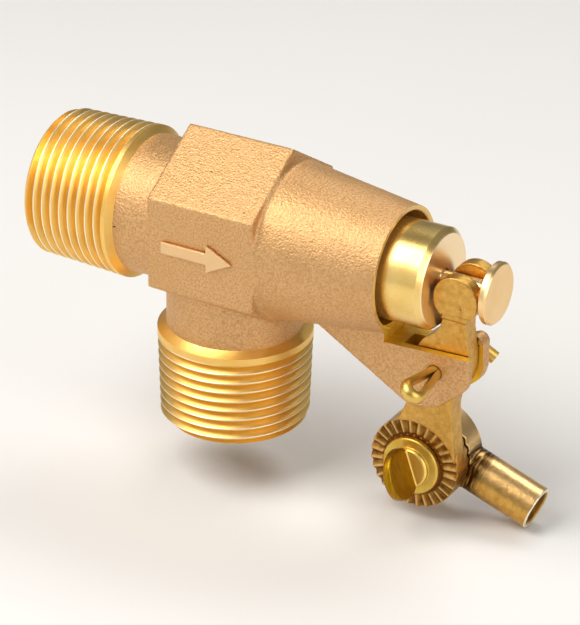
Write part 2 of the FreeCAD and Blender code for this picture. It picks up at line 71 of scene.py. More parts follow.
HEX_X0, HEX_X1 = 31.9, 57.2
HEX_FLAT_Y, HEX_SIDE_Z, HEX_APEX_Z = 16.93, 10.2, 20.7
BARREL_R0, BARREL_R1, BARREL_END_X = 13.75, 13.4, 83.6
BARREL_ROOT_FILLET = 3.2

PIVOT_X, PIVOT_Z = 93.3, -19.5
NEAR_EAR_Y, FAR_EAR_Y = -4.1, 5.5
SLOT_X, SLOT_Y = 85.2, 2.4
EAR_END_X = 101.1
FLOOR_X, FLOOR_Z, FLOOR_RISE = 81.4, -15.6, 0.8
LIP_CUT_Z = -11.0
PIN_HOLE_R = 1.75

BORE_R, SEAT_HOLE_R, GUIDE_R, PORT_R = 11.9, 9.0, 10.91, 10.6
SEAT_WALL_X0, SEAT_WALL_X1 = 27.6, 33.6
CHAMBER_X1, MOUTH_X, MOUTH_R, MOUTH_EDGE = 55.4, 75.0, 12.4, 0.25
OUTLET_BORE_TOP = -17.0
BOSS_X, BOSS_Z = 87.6, -44.0
TOOTH_FACE_Y, TOOTH_RING_R = -1.3, 10.2
FLANGE_R = 7.1                  # flange of the thumb screw
CAP_Y = -3.7                    # front of the cap of the thumb screw
SOCKET_Y, SOCKET_LENGTH = 8.8, 25.9
SOCKET_R, SOCKET_HOLE_R = 4.8, 3.9
PLUNGER_FACE_X = 92.7
ARM_SLOPE = 19.3                # degrees that the rod socket hangs below level
ARROW_HEIGHT = 0.75
CUTTER_X, CUTTER_Y = 96.0, -14.0        # centre of the arcs that the cutter left on the floor
CUTTER_PITCH = 0.55


# ---- Node helpers -----------------------------------------------------------------------

class Material:
    """A material with a Principled shader and short calls for the nodes around it."""

    def __init__(self, name, **fixed):
        self.data = bpy.data.materials.new(name)
        self.data.use_nodes = True
        self.tree = self.data.node_tree
        self.shader = self.tree.nodes["Principled BSDF"]
        self.place = self.add("ShaderNodeTexCoord").outputs["Object"]
        for socket, value in fixed.items():
            self.shader.inputs[socket.replace("_", " ")].default_value = value

    def add(self, kind, **settings):
        node = self.tree.nodes.new(kind)
        for key, value in settings.items():
            setattr(node, key, value)
        return node

    def plug(self, source, socket):
        if isinstance(source, bpy.types.NodeSocket):
            self.tree.links.new(source, socket)
        else:
            socket.default_value = source

    def noise(self, scale, detail=2.0, roughness=0.5, place=None):
        node = self.add("ShaderNodeTexNoise")
        self.plug(place or self.place, node.inputs["Vector"])
        node.inputs["Scale"].default_value = scale
        node.inputs["Detail"].default_value = detail
        node.inputs["Roughness"].default_value = roughness
        return node.outputs["Fac"]

    def cells(self, scale):
        node = self.add("ShaderNodeTexVoronoi", feature="SMOOTH_F1")
        self.plug(self.place, node.inputs["Vector"])
        node.inputs["Scale"].default_value = scale
        node.inputs["Smoothness"].default_value = 0.6
        return node.outputs["Distance"]

    def between(self, source, low, high, out_low=0.0, out_high=1.0):
        """out_low where source is low, out_high where it is high, and a ramp between them."""
        node = self.add("ShaderNodeMapRange")
        self.plug(source, node.inputs["Value"])
        node.inputs["From Min"].default_value = low
        node.inputs["From Max"].default_value = high
        node.inputs["To Min"].default_value = out_low
        node.inputs["To Max"].default_value = out_high
        return node.outputs["Result"]

    def math(self, operation, a, b=0.0):
        node = self.add("ShaderNodeMath", operation=operation)
        self.plug(a, node.inputs[0])
        self.plug(b, node.inputs[1])
        return node.outputs[0]

    def mix(self, factor, a, b):
        """Colour a where factor is 0, and b where it is 1."""
        node = self.add("ShaderNodeMix", data_type="RGBA")
        self.plug(factor, node.inputs["Factor"])
        colour_inputs = [socket for socket in node.inputs if socket.type == "RGBA"]
        for value, socket in zip((a, b), colour_inputs):
            self.plug(value, socket)
        return [socket for socket in node.outputs if socket.type == "RGBA"][0]

    def occlusion(self, distance):
        """1 where the surface is open, and less in grooves and corners."""
        node = self.add("ShaderNodeAmbientOcclusion", samples=8)
        node.inputs["Distance"].default_value = distance
        return node.outputs["AO"]

    def shifted(self, x, y, z, turn=0.0):
        """Object coordinates measured from a point, turned about Y by turn degrees."""
        node = self.add("ShaderNodeMapping", vector_type="TEXTURE")
        self.plug(self.place, node.inputs["Vector"])
        node.inputs["Location"].default_value = (x, y, z)
        node.inputs["Rotation"].default_value = (0, math.radians(turn), 0)
        return node.outputs["Vector"]

    def scaled(self, vector, x, y, z):
        """A vector with its parts multiplied by x, y and z."""
        node = self.add("ShaderNodeVectorMath", operation="MULTIPLY")
        self.plug(vector, node.inputs[0])
        node.inputs[1].default_value = (x, y, z)
        return node.outputs[0]

    def length(self, vector):
        node = self.add("ShaderNodeVectorMath", operation="LENGTH")
        self.plug(vector, node.inputs[0])
        return node.outputs["Value"]

    def part(self, vector, axis):
        node = self.add("ShaderNodeSeparateXYZ")
        self.plug(vector, node.inputs[0])
        return node.outputs[axis]

    def bump(self, height, distance, normal=None):
        node = self.add("ShaderNodeBump")
        node.inputs["Strength"].default_value = 1.0
        node.inputs["Distance"].default_value = distance
        self.plug(height, node.inputs["Height"])
        if normal is not None:
            self.plug(normal, node.inputs["Normal"])
        return node.outputs["Normal"]

    def finish(self, colour, roughness, normal):
        self.plug(colour, self.shader.inputs["Base Color"])
        self.plug(roughness, self.shader.inputs["Roughness"])
        self.plug(normal, self.shader.inputs["Normal"])
        return self.data


def rgb(red, green, blue):
    return (red, green, blue, 1.0)


# ---- Materials --------------------------------------------------------------------------

def cast_bronze():
    """Sand cast bronze: fine orange peel grain, brown pits, painted shade in creases, a worn arrow."""
    m = Material("cast_bronze", Metallic=1.0)
    peel = m.cells(2300)
    grain = m.noise(2300, 2.0, 0.55)
    patches = m.noise(90, 3.0)
    specks = m.noise(620, 1.0)
    light = m.mix(m.between(patches, 0.3, 0.7), rgb(0.69, 0.42, 0.19), rgb(0.75, 0.48, 0.24))
    grainy = m.mix(m.between(grain, 0.36, 0.60), rgb(0.59, 0.335, 0.135), light)
    pitted = m.mix(m.between(specks, 0.185, 0.225), rgb(0.13, 0.055, 0.015), grainy)
    # Painted shade: dark brown in creases and corners, where less light reaches.
    open_to_light = m.between(m.occlusion(1.0 * MM), 0.40, 0.80)
    shaded_in_creases = m.mix(open_to_light, rgb(0.33, 0.14, 0.03), pitted)
    arrow_side_y = -(HEX_FLAT_Y + 0.4 * ARROW_HEIGHT)
    arrow_top_y = -(HEX_FLAT_Y + 0.8 * ARROW_HEIGHT)
    on_arrow = m.between(m.part(m.place, "Y"), arrow_side_y * MM, arrow_top_y * MM)
    colour = m.mix(on_arrow, shaded_in_creases, rgb(0.84, 0.58, 0.31))
    roughness = m.between(patches, 0.3, 0.7, 0.50, 0.60)
    soft = m.bump(peel, 0.07 * MM)
    return m.finish(colour, roughness, m.bump(grain, 0.13 * MM, soft))


def cut_brass(name, dark, light, roughness, lines, depth):
    """Brass from a lathe or a mill: fine tool lines along one direction and faint stains."""
    m = Material(name, Metallic=1.0)
    marks = m.noise(1.0, 2.0, 0.6, m.scaled(m.place, *lines))
    stains = m.noise(160, 3.0)
    colour = m.mix(m.between(stains, 0.3, 0.72), dark, light)
    uneven = m.math("ADD", m.between(marks, 0.3, 0.7, -0.05, 0.06), roughness)
    return m.finish(colour, uneven, m.bump(marks, depth))


def milled_bronze():
    """Freshly cut faces: pale high up, and richer with cutter arcs low down, as on the floor."""
    m = Material("milled_bronze", Metallic=0.6)
    from_centre = m.shifted(CUTTER_X * MM, CUTTER_Y * MM, FLOOR_Z * MM)
    reach = m.length(m.scaled(from_centre, 1, 1, 0))
    arcs = m.math("SINE", m.math("MULTIPLY", reach, 2 * math.pi / (CUTTER_PITCH * MM)))
    rings = m.between(arcs, -1, 1)
    wobble = m.noise(500, 3.0)
    low_z, high_z = -9.5, -8.5
    low_down = m.between(m.part(m.place, "Z"), low_z * MM, high_z * MM, 1.0, 0.0)
    cuts = m.math("MULTIPLY", rings, m.between(wobble, 0.3, 0.7, 0.3, 1.0))
    height = m.math("ADD", m.math("MULTIPLY", cuts, low_down), m.math("MULTIPLY", wobble, 0.3))
    cloud = m.between(wobble, 0.3, 0.7)
    pale = m.mix(cloud, rgb(0.74, 0.47, 0.13), rgb(0.86, 0.60, 0.23))
    rich = m.mix(cloud, rgb(0.84, 0.48, 0.03), rgb(0.97, 0.65, 0.06))
    colour = m.mix(low_down, pale, rich)
    # Painted shade: darker brown in hollows and pockets, where less light reaches.
    open_to_light = m.between(m.occlusion(2 * MM), 0.05, 0.5)
    darkened = m.mix(open_to_light, rgb(0.60, 0.26, 0.012), colour)
    return m.finish(darkened, m.between(wobble, 0.3, 0.7, 0.32, 0.44), m.bump(height, 0.02 * MM))


def piston_brass():
    """Piston: faint lengthwise scores, a peach coloured face, and a less metallic part in the guide
    with painted shade.
    """
    m = Material("piston_brass", Metallic=1.0)
    marks = m.noise(1.0, 2.0, 0.6, m.scaled(m.place, 40, 2600, 2600))
    stains = m.noise(160, 3.0)
    side = m.mix(m.between(stains, 0.3, 0.72), rgb(0.82, 0.56, 0.17), rgb(0.90, 0.65, 0.25))
    x = m.part(m.place, "X")
    outside = m.between(x, (BARREL_END_X - 0.9) * MM, (BARREL_END_X + 0.8) * MM)
    # Painted shade: the part inside the guide is darker, standing in for the shade and dark reflection
    # of the bore.
    shaded_in_guide = m.mix(outside, rgb(0.66, 0.37, 0.05), side)
    on_face = m.between(x, (PLUNGER_FACE_X - 0.3) * MM, (PLUNGER_FACE_X - 0.05) * MM)
    colour = m.mix(on_face, shaded_in_guide, rgb(1.0, 0.77, 0.47))
    m.plug(m.between(outside, 0, 1, 0.55, 1.0), m.shader.inputs["Metallic"])
    base = m.between(on_face, 0, 1, 0.27, 0.33)
    roughness = m.math("ADD", m.between(stains, 0.3, 0.7, -0.02, 0.03), base)
    return m.finish(colour, roughness, m.bump(marks, 0.0005 * MM))


def lever_bronze():
    """Tumbled casting: soft mottling, small pits, painted shade in grooves, and worn teeth."""
    m = Material("lever_bronze", Metallic=1.0)
    blotches = m.noise(750, 4.0, 0.65)
    fine = m.noise(1900, 2.0)
    specks = m.noise(800, 1.0)
    dark, light = rgb(0.51, 0.275, 0.052), rgb(0.74, 0.435, 0.115)
    colour = m.mix(m.between(blotches, 0.29, 0.71), dark, light)
    pitted = m.mix(m.between(specks, 0.20, 0.24), PIT_AND_SHADE_BROWN, colour)
    # Painted shade: darker in grooves and corners, where less light reaches.
    shaded_in_hollows = m.mix(m.between(m.occlusion(0.8 * MM), 0.40, 0.85), PIT_AND_SHADE_BROWN, pitted)
    roughness = m.between(fine, 0.3, 0.7, 0.33, 0.46)
    soft = m.bump(blotches, 0.03 * MM)
    return m.finish(toothed(m, shaded_in_hollows), roughness, m.bump(fine, 0.02 * MM, soft))


def toothed(m, colour):
    """Bright crests on the front teeth, and painted shade in their grooves and round the thumb screw.
    """
    from_boss = m.shifted(BOSS_X * MM, 0, BOSS_Z * MM)
    reach = m.length(m.scaled(from_boss, 1, 0, 1))
    on_ring = m.between(reach, (TOOTH_RING_R - 0.3) * MM, (TOOTH_RING_R + 0.3) * MM, 1.0, 0.0)
    by_screw = m.between(reach, FLANGE_R * MM, (FLANGE_R + 0.5) * MM, 1.0, 0.0)
    y = m.part(from_boss, "Y")
    crest = m.between(y, (TOOTH_FACE_Y + 0.02) * MM, (TOOTH_FACE_Y + 0.16) * MM, 1.0, 0.0)
    worn = m.mix(m.math("MULTIPLY", on_ring, crest), colour, rgb(0.96, 0.66, 0.26))
    # Painted shade: darker deeper into the tooth grooves, streaked, and in the gap round the screw's
    # flange.
    depth = m.between(y, TOOTH_FACE_Y * MM, (TOOTH_FACE_Y + 0.34) * MM)
    streaks = m.between(m.noise(700, 3.0), 0.3, 0.7, 0.55, 1.0)
    grooves = m.math("MULTIPLY", m.math("MULTIPLY", on_ring, depth), streaks)
    return m.mix(m.math("MAXIMUM", grooves, by_screw), worn, PIT_AND_SHADE_BROWN)


def screw_brass():
    """Thumb screw: greenish gold, with a brushed paddle darkened by painted shade."""
    m = Material("screw_brass", Metallic=1.0)
    blotches = m.noise(300, 3.0, 0.6)
    marks = m.noise(1.0, 2.0, 0.6, m.scaled(m.place, 1500, 1500, 120))
    light = m.mix(m.between(blotches, 0.34, 0.66), rgb(0.62, 0.40, 0.065), rgb(0.74, 0.51, 0.11))
    dark = m.mix(m.between(marks, 0.34, 0.66), rgb(0.31, 0.155, 0.005), rgb(0.41, 0.22, 0.010))
    y = m.part(m.place, "Y")
    on_cap = m.between(y, (CAP_Y + 0.3) * MM, (CAP_Y + 0.5) * MM, 1.0, 0.0)
    capped = m.mix(on_cap, light, rgb(0.95, 0.68, 0.19))
    # Painted shade: the paddle's face is darker because it turns away from the lights.
    on_paddle = m.between(y, (CAP_Y - 0.15) * MM, (CAP_Y - 0.5) * MM)
    colour = m.mix(on_paddle, capped, dark)
    open_to_light = m.between(m.occlusion(1.0 * MM), 0.35, 0.85)
    shaded = m.mix(open_to_light, rgb(0.16, 0.075, 0.004), colour)
    roughness = m.between(marks, 0.3, 0.7, 0.36, 0.46)
    return m.finish(shaded, roughness, m.bump(marks, 0.004 * MM))


def socket_bronze():
    """Rod arm: mottled, lighter on the disc, with a painted highlight on top of the socket and on its
    end rim, a streaked stain by the socket, and painted shade in its hole and grooves.
    """
    m = Material("socket_bronze", Metallic=1.0)
    along = m.shifted(BOSS_X * MM, SOCKET_Y * MM, BOSS_Z * MM, ARM_SLOPE)
    reach = m.part(along, "X")
    off_axis = m.length(m.scaled(along, 0, 1, 1))
    streaks = m.noise(1.0, 3.0, 0.6, m.scaled(along, 2300, 260, 260))
    blotches = m.noise(700, 4.0, 0.65)
    fine = m.noise(1900, 2.0)
    mottled = m.mix(m.between(blotches, 0.28, 0.72), rgb(0.50, 0.26, 0.05), rgb(0.74, 0.44, 0.11))
    # Painted highlight along the top of the socket; the disc round the socket is made lighter too.
    on_disc = m.between(off_axis, (SOCKET_R + 0.4) * MM, (SOCKET_R + 1.4) * MM, 0.0, 0.7)
    on_top = m.between(m.part(along, "Z"), 1.0 * MM, (SOCKET_R - 0.2) * MM, 0.0, 0.6)
    colour = m.mix(m.math("MAXIMUM", on_disc, on_top), mottled, rgb(0.94, 0.66, 0.33))

    stain_x0, stain_x1, stain_x2, stain_x3 = 7.6, 8.8, 12.0, 14.4
    rising = m.between(reach, stain_x0 * MM, stain_x1 * MM)
    falling = m.between(reach, stain_x2 * MM, stain_x3 * MM, 1.0, 0.0)
    band = m.math("MULTIPLY", rising, falling)
    stain = m.math("MULTIPLY", band, m.between(streaks, 0.36, 0.52, 0.35, 1.0))
    darkened = m.mix(stain, colour, rgb(0.10, 0.045, 0.008))

    # Painted shade: dark brown inside the socket's hole.
    hole_x0, hole_x1 = 20.0, 21.0
    by_axis = m.between(off_axis, (SOCKET_HOLE_R - 0.3) * MM, SOCKET_HOLE_R * MM, 1.0, 0.0)
    in_hole = m.math("MULTIPLY", by_axis, m.between(reach, hole_x0 * MM, hole_x1 * MM))
    shaded_hole = m.mix(in_hole, darkened, rgb(0.16, 0.07, 0.01))
    # Painted highlight: a pale ring on the edge of the socket's end.
    at_end = m.between(reach, (SOCKET_LENGTH - 0.35) * MM, (SOCKET_LENGTH - 0.2) * MM)
    on_wall = m.between(off_axis, (SOCKET_HOLE_R + 0.1) * MM, (SOCKET_HOLE_R + 0.25) * MM)
    rim_highlighted = m.mix(m.math("MULTIPLY", at_end, on_wall), shaded_hole, rgb(1.0, 0.90, 0.68))
    # Painted shade: darker in grooves and corners, where less light reaches.
    open_to_light = m.between(m.occlusion(0.8 * MM), 0.40, 0.85)
    shaded_in_hollows = m.mix(open_to_light, rgb(0.20, 0.075, 0.012), rim_highlighted)
    roughness = m.between(fine, 0.3, 0.7, 0.29, 0.41)
    return m.finish(shaded_in_hollows, roughness, m.bump(fine, 0.025 * MM))


def seal_rubber():
    m = Material("seal_rubber")
    fine = m.noise(2500, 2.0)
    colour = m.mix(fine, rgb(0.018, 0.018, 0.02), rgb(0.035, 0.035, 0.037))
    return m.finish(colour, m.between(fine, 0.3, 0.7, 0.5, 0.65), m.bump(fine, 0.01 * MM))


def pale_floor():
    m = Material("pale_floor")
    cloud = m.noise(6.0, 2.0)
    colour = m.mix(cloud, rgb(0.78, 0.775, 0.76), rgb(0.82, 0.815, 0.80))
    return m.finish(colour, 0.75, m.bump(m.noise(900, 2.0), 0.02 * MM))


# Tool lines: how fast the noise changes along X, Y and Z.
ROUND_X_LINES = (3200, 60, 60)
THREAD_LINES = (900, 60, 900)
WIRE_LINES = (300, 300, 300)
# Dark brown for small pits, and for painted shade in grooves, between the teeth and round the thumb
# screw.
PIT_AND_SHADE_BROWN = rgb(0.16, 0.055, 0.008)
CAST = cast_bronze()
MILLED = milled_bronze()
THREAD = cut_brass("thread_bronze", rgb(0.86, 0.54, 0.135), rgb(0.91, 0.61, 0.195), 0.42,
                   THREAD_LINES, 0.003 * MM)
# Crest faces: pale polished brass, partly worn turned flats and partly a painted highlight along each
# crest.
CREST = cut_brass("thread_crest", rgb(0.98, 0.84, 0.56), rgb(1.0, 0.92, 0.70), 0.40,
                  THREAD_LINES, 0.002 * MM)
PISTON = piston_brass()
STEM = cut_brass("stem_brass", rgb(0.88, 0.59, 0.26), rgb(0.93, 0.65, 0.33), 0.28,
                 ROUND_X_LINES, 0.006 * MM)
SEAT = cut_brass("seat_brass", rgb(0.80, 0.54, 0.19), rgb(0.86, 0.60, 0.25), 0.25,
                 ROUND_X_LINES, 0.004 * MM)
WIRE = cut_brass("wire_brass", rgb(0.70, 0.45, 0.10), rgb(0.82, 0.57, 0.17), 0.38,
                 WIRE_LINES, 0.006 * MM)
LEVER = lever_bronze()
SOCKET = socket_bronze()
SCREW = screw_brass()
RUBBER = seal_rubber()

BODY_FINISHES = (CAST, MILLED, THREAD, CREST)
FINISHES = {
    "seat_ring": SEAT, "plunger": PISTON, "plunger_stem": STEM, "seal_disc": RUBBER,
    "disc_washer": SEAT, "disc_screw": SEAT, "o_ring_inner": RUBBER, "o_ring_outer": RUBBER,
    "cotter_pin": WIRE,
}
for node_name, material in FINISHES.items():
    slots = NODES[node_name].data.materials
    if len(slots) == 0:
        slots.append(material)
    for index in range(len(slots)):
        slots[index] = material


# ---- Solids -----------------------------------------------------------------------------

# Placements that put local X on the valve's axis, and up the outlet from its end face.
ON_X = Matrix.Identity(4)
UP_OUTLET = Matrix(((0, 0, -1, OUTLET_X), (0, 1, 0, 0), (1, 0, 0, OUTLET_FACE_Z), (0, 0, 0, 1)))


def new_object(name, grid, place, finish):
    """Object from a bmesh in millimetres, with its faces turned outwards.

    Every solid has all the finishes, so that booleans keep each face's own. Faces that
    have a finish already keep it.
    """
    bmesh.ops.transform(grid, matrix=Matrix.Scale(MM, 4) @ place, verts=grid.verts)
    bmesh.ops.recalc_face_normals(grid, faces=grid.faces)
    for face in grid.faces:
        if not face.material_index:
            face.material_index = BODY_FINISHES.index(finish)
    mesh = bpy.data.meshes.new(name)
    grid.to_mesh(mesh)
    grid.free()
    for material in BODY_FINISHES:
        mesh.materials.append(material)
    thing = bpy.data.objects.new(name, mesh)
    bpy.context.scene.collection.objects.link(thing)
    return thing


def revolved(name, profile, place, finish, steps=128):
    """Solid of revolution about local X from (x, radius) points; both ends are on the axis."""
    grid = bmesh.new()
    rings = []
    for x, radius in profile:
        turns = [2 * math.pi * k / steps for k in range(steps if radius else 1)]
        rings.append([grid.verts.new((x, radius * math.cos(t), radius * math.sin(t))) for t in turns])
    for low, high in zip(rings, rings[1:]):
        for k in range(steps):
            after = (k + 1) % steps
            corners = [low[k % len(low)], low[after % len(low)]]
            corners += [high[after % len(high)], high[k % len(high)]]
            grid.faces.new(list(dict.fromkeys(corners)))
    return new_object(name, grid, place, finish)


def slab(name, outline, y0, y1, finish):
    """Prism along Y from (x, z) points."""
    grid = bmesh.new()
    near = [grid.verts.new((x, y0, z)) for x, z in outline]
    far = [grid.verts.new((x, y1, z)) for x, z in outline]
    grid.faces.new(near)
    grid.faces.new(far[::-1])
    for k in range(len(outline)):
        after = (k + 1) % len(outline)
        grid.faces.new((near[k], near[after], far[after], far[k]))
    return new_object(name, grid, ON_X, finish)


def arc(start, middle, end, steps=12):
    """Points on the circle through three (x, z) points, from start to just before end."""
    a, b, c = (complex(*p) for p in (start, middle, end))
    w = (c - a) / (b - a)
    centre = a + (b - a) * (w - abs(w) ** 2) / (2j * w.imag)
    turn = cmath.phase((c - centre) / (a - centre))
    if abs(cmath.phase((b - centre) / (a - centre))) > abs(turn):
        turn -= math.copysign(2 * math.pi, turn)
    spots = [centre + (a - centre) * cmath.rect(1, turn * k / steps) for k in range(steps)]
    return [(spot.real, spot.imag) for spot in spots]


def apply_modifiers(thing):
    graph = bpy.context.evaluated_depsgraph_get()
    mesh = bpy.data.meshes.new_from_object(thing.evaluated_get(graph))
    thing.modifiers.clear()
    thing.data = mesh
    return thing


def combine(base, tools, operation):
    """Boolean of base with each tool in turn; the tools are used up."""
    for tool in tools:
        step = base.modifiers.new(operation, "BOOLEAN")
        step.operation = operation
        step.solver = "MANIFOLD"
        step.object = tool
        apply_modifiers(base)
        bpy.data.objects.remove(tool)
    return base


def cast_skin(thing, voxel, smoothing, lumps):
    """Give a solid the soft edges and slightly uneven faces of a casting."""
    remesh = thing.modifiers.new("skin", "REMESH")
    remesh.mode = "VOXEL"
    remesh.voxel_size = voxel * MM
    remesh.use_smooth_shade = True
    soften = thing.modifiers.new("soften", "SMOOTH")
    soften.factor = 0.5
    soften.iterations = smoothing
    apply_modifiers(thing)
    coarse, fine, fine_share = 650, 1500, 0.6
    spots = [(vertex.co.copy(), vertex.normal.copy()) for vertex in thing.data.vertices]
    moved = []
    for spot, normal in spots:
        lump = noise.noise(spot * coarse) + fine_share * noise.noise(spot * fine)
        moved.extend(spot + normal * (lump * lumps * MM))
    thing.data.vertices.foreach_set("co", moved)
    thing.data.update()
    return thing


def shade(thing, degrees):
    """Smooth shading, with edges sharper than the angle left sharp."""
    thing.data.polygons.foreach_set("use_smooth", [True] * len(thing.data.polygons))
    thing.data.set_sharp_from_angle(angle=math.radians(degrees))


# ---- Valve body -------------------------------------------------------------------------

TO_CAMERA = Vector((0.4435, -0.7712, 0.4565))   # side where the crests are matched to the photo


def crest_r(distance, thread):
    """Crest radius at a distance from the end face; THREAD_BIG_R where the thread ends."""
    return THREAD_BIG_R - (thread - distance) * THREAD_TAPER


def front_angle(place):
    """Angle about local X of the side that faces the camera."""
    front = place.to_3x3().inverted() @ TO_CAMERA
    return math.atan2(front.z, front.y)


def helix(thread, first_crest, place):
    """Tapered right hand thread, longer than needed at both ends.

    Each column holds the profile of all turns at one angle, shifted by its part of the
    pitch, and the last column joins the first one turn further on.
    """
    crest_end = 2 * CREST_ROUND + CREST_FLAT
    flank = (PITCH - crest_end - ROOT_FLAT) / 2
    crest_points = [(0, CREST_DROP), (CREST_ROUND, 0), (CREST_ROUND + CREST_FLAT, 0)]
    crest_points += [(crest_end, CREST_DROP)]
    root_points = [(crest_end + flank, THREAD_DEPTH), (crest_end + flank + ROOT_FLAT, THREAD_DEPTH)]
    turn_points = crest_points + root_points
    phase = first_crest - crest_end / 2 - PITCH * front_angle(place) / (2 * math.pi)
    turns_before, spare_turns = 3, 5
    turns = int(thread / PITCH) + spare_turns
    start = phase % PITCH - turns_before * PITCH
    grid = bmesh.new()
    columns = []
    for k in range(THREAD_COLUMNS):
        angle = 2 * math.pi * k / THREAD_COLUMNS
        column = []
        for turn in range(turns):
            for offset, drop in turn_points:
                x = start + PITCH * (turn + k / THREAD_COLUMNS) + offset
                radius = crest_r(x, thread) - drop
                y, z = radius * math.cos(angle), radius * math.sin(angle)
                column.append(grid.verts.new((x, y, z)))
        columns.append(column)
    step = len(turn_points)
    crest_faces = len(crest_points) - 1
    strips = [(here, after) for here, after in zip(columns, columns[1:])]
    strips.append((columns[-1], columns[0][step:]))
    for here, after in strips:
        for r in range(min(len(here), len(after)) - 1):
            face = grid.faces.new((here[r], after[r], after[r + 1], here[r + 1]))
            if r % step < crest_faces:
                face.material_index = BODY_FINISHES.index(CREST)
    first, last = columns[0], columns[-1]
    low_rim = [column[0] for column in columns] + first[step:0:-1]
    high_rim = [column[-1] for column in columns[::-1]] + last[-step - 1:-1]
    for rim, x in ((low_rim, start - PITCH), (high_rim, start + PITCH * (turns + 1))):
        hub = grid.verts.new((x, 0, 0))
        for k in range(len(rim)):
            grid.faces.new((rim[k], rim[(k + 1) % len(rim)], hub))
    return new_object("thread", grid, place, THREAD)


def nipple(thread, land, neck_r, first_crest, place):
    """Threaded end with its smooth ring and the machined cone behind it."""
    over, core_r, cone_rise = 1.0, 14.0, 0.15
    end_r = crest_r(0, thread)
    envelope = revolved("envelope", [
        (0, 0), (0, end_r - NIPPLE_EDGE), (NIPPLE_EDGE + over, end_r + over),
        (thread, THREAD_BIG_R + over), (thread, 0),
    ], place, THREAD)
    part = combine(helix(thread, first_crest, place), [envelope], "INTERSECT")
    cone_end = thread + land + SHOULDER_CONE
    ring = revolved("ring", [
        (thread - over, 0), (thread - over, core_r), (thread, core_r), (thread, THREAD_BIG_R),
        (thread + land, THREAD_BIG_R), (cone_end, neck_r + cone_rise), (cone_end + over, core_r),
        (cone_end + over, 0),
    ], place, THREAD)
    return combine(part, [ring], "UNION")


def hexagon():
    grid = bmesh.new()
    corners = [
        (0, HEX_APEX_Z), (HEX_FLAT_Y, HEX_SIDE_Z), (HEX_FLAT_Y, -HEX_SIDE_Z),
        (0, -HEX_APEX_Z), (-HEX_FLAT_Y, -HEX_SIDE_Z), (-HEX_FLAT_Y, HEX_SIDE_Z),
    ]
    ends = [[grid.verts.new((x, y, z)) for y, z in corners] for x in (HEX_X0, HEX_X1)]
    for end in ends:
        grid.faces.new(end)
    for k in range(len(corners)):
        after = (k + 1) % len(corners)
        grid.faces.new((ends[0][k], ends[0][after], ends[1][after], ends[1][k]))
    return new_object("hexagon", grid, ON_X, CAST)


def clevis_outline():
    """Gusset and ears, with a little stock left above the floor that is milled later."""
    foot, foot_end = (85.8, -27.9), (90.2, -28.5)
    nose_low, nose_high, nose_top = (94.6, -27.0), (100.2, -22.3), (EAR_END_X, -18.4)
    stock, inside_z = 1.2, -8.0
    length, slope = 31.0, math.radians(30.7)
    start_x = foot[0] - length * math.cos(slope)
    start = (start_x, foot[1] + length * math.sin(slope))
    outline = [start] + arc(foot, (87.9, -28.6), foot_end) + arc(foot_end, (92.6, -28.1), nose_low)
    outline += [nose_low] + arc(nose_high, (100.95, -20.5), nose_top) + [nose_top]
    outline += [(EAR_END_X, FLOOR_Z + FLOOR_RISE + stock), (BARREL_END_X + 0.4, FLOOR_Z + stock)]
    return outline + [(BARREL_END_X + 0.4, inside_z), (start_x, inside_z)]


def body_blank():
    """The casting before any machining."""
    fillet, stock, inside, bend_steps = BARREL_ROOT_FILLET, 1.0, 4.0, 8
    barrel = [(HEX_X1 - inside, 0), (HEX_X1 - inside, BARREL_R0 + fillet)]
    for k in range(bend_steps + 1):
        a = math.pi / 2 * k / bend_steps
        barrel.append((HEX_X1 + fillet * (1 - math.sin(a)), BARREL_R0 + fillet * (1 - math.cos(a))))
    barrel += [(BARREL_END_X + stock, BARREL_R1), (BARREL_END_X + stock, 0)]
    neck_x = INLET_THREAD + INLET_LAND / 2
    inlet = [(neck_x, 0), (neck_x, INLET_NECK_R), (HEX_X0 + inside, INLET_NECK_R), (HEX_X0 + inside, 0)]
    rise = OUTLET_THREAD + OUTLET_LAND / 2
    top = -OUTLET_FACE_Z - inside
    outlet = [(rise, 0), (rise, OUTLET_NECK_R), (top, OUTLET_NECK_R), (top, 0)]
    blank = combine(hexagon(), [
        revolved("barrel", barrel, ON_X, CAST), revolved("inlet", inlet, ON_X, CAST),
        revolved("outlet", outlet, UP_OUTLET, CAST),
        slab("clevis", clevis_outline(), NEAR_EAR_Y, FAR_EAR_Y, CAST),
    ], "UNION")
    return cast_skin(blank, voxel=0.38, smoothing=6, lumps=0.035)


def flow_arrow():
    """Raised arrow on the front flat, towards the barrel."""
    shaft, head, buried = 1.3, 3.1, 1.2
    x0, x1, x2 = 35.6, 46.5, 52.6
    outline = [(x0, -shaft), (x1, -shaft), (x1, -head), (x2, 0), (x1, head), (x1, shaft), (x0, shaft)]
    arrow = slab("arrow", outline, -HEX_FLAT_Y - ARROW_HEIGHT, -HEX_FLAT_Y + buried, CAST)
    return cast_skin(arrow, voxel=0.15, smoothing=3, lumps=0.02)


def stop_lug():
    """Rounded lug that stands on the end of the far ear."""
    x0, base_z = 95.6, FLOOR_Z - 1.0
    shoulder, top, end = (x0 + 1.2, -13.2), (EAR_END_X - 2.0, -12.2), (EAR_END_X, -14.0)
    outline = [(x0, base_z), shoulder] + arc(top, (EAR_END_X - 0.7, -12.7), end)
    lug = slab("lug", outline + [end, (EAR_END_X, base_z)], SLOT_Y, FAR_EAR_Y, CAST)
    return cast_skin(lug, voxel=0.2, smoothing=5, lumps=0.02)


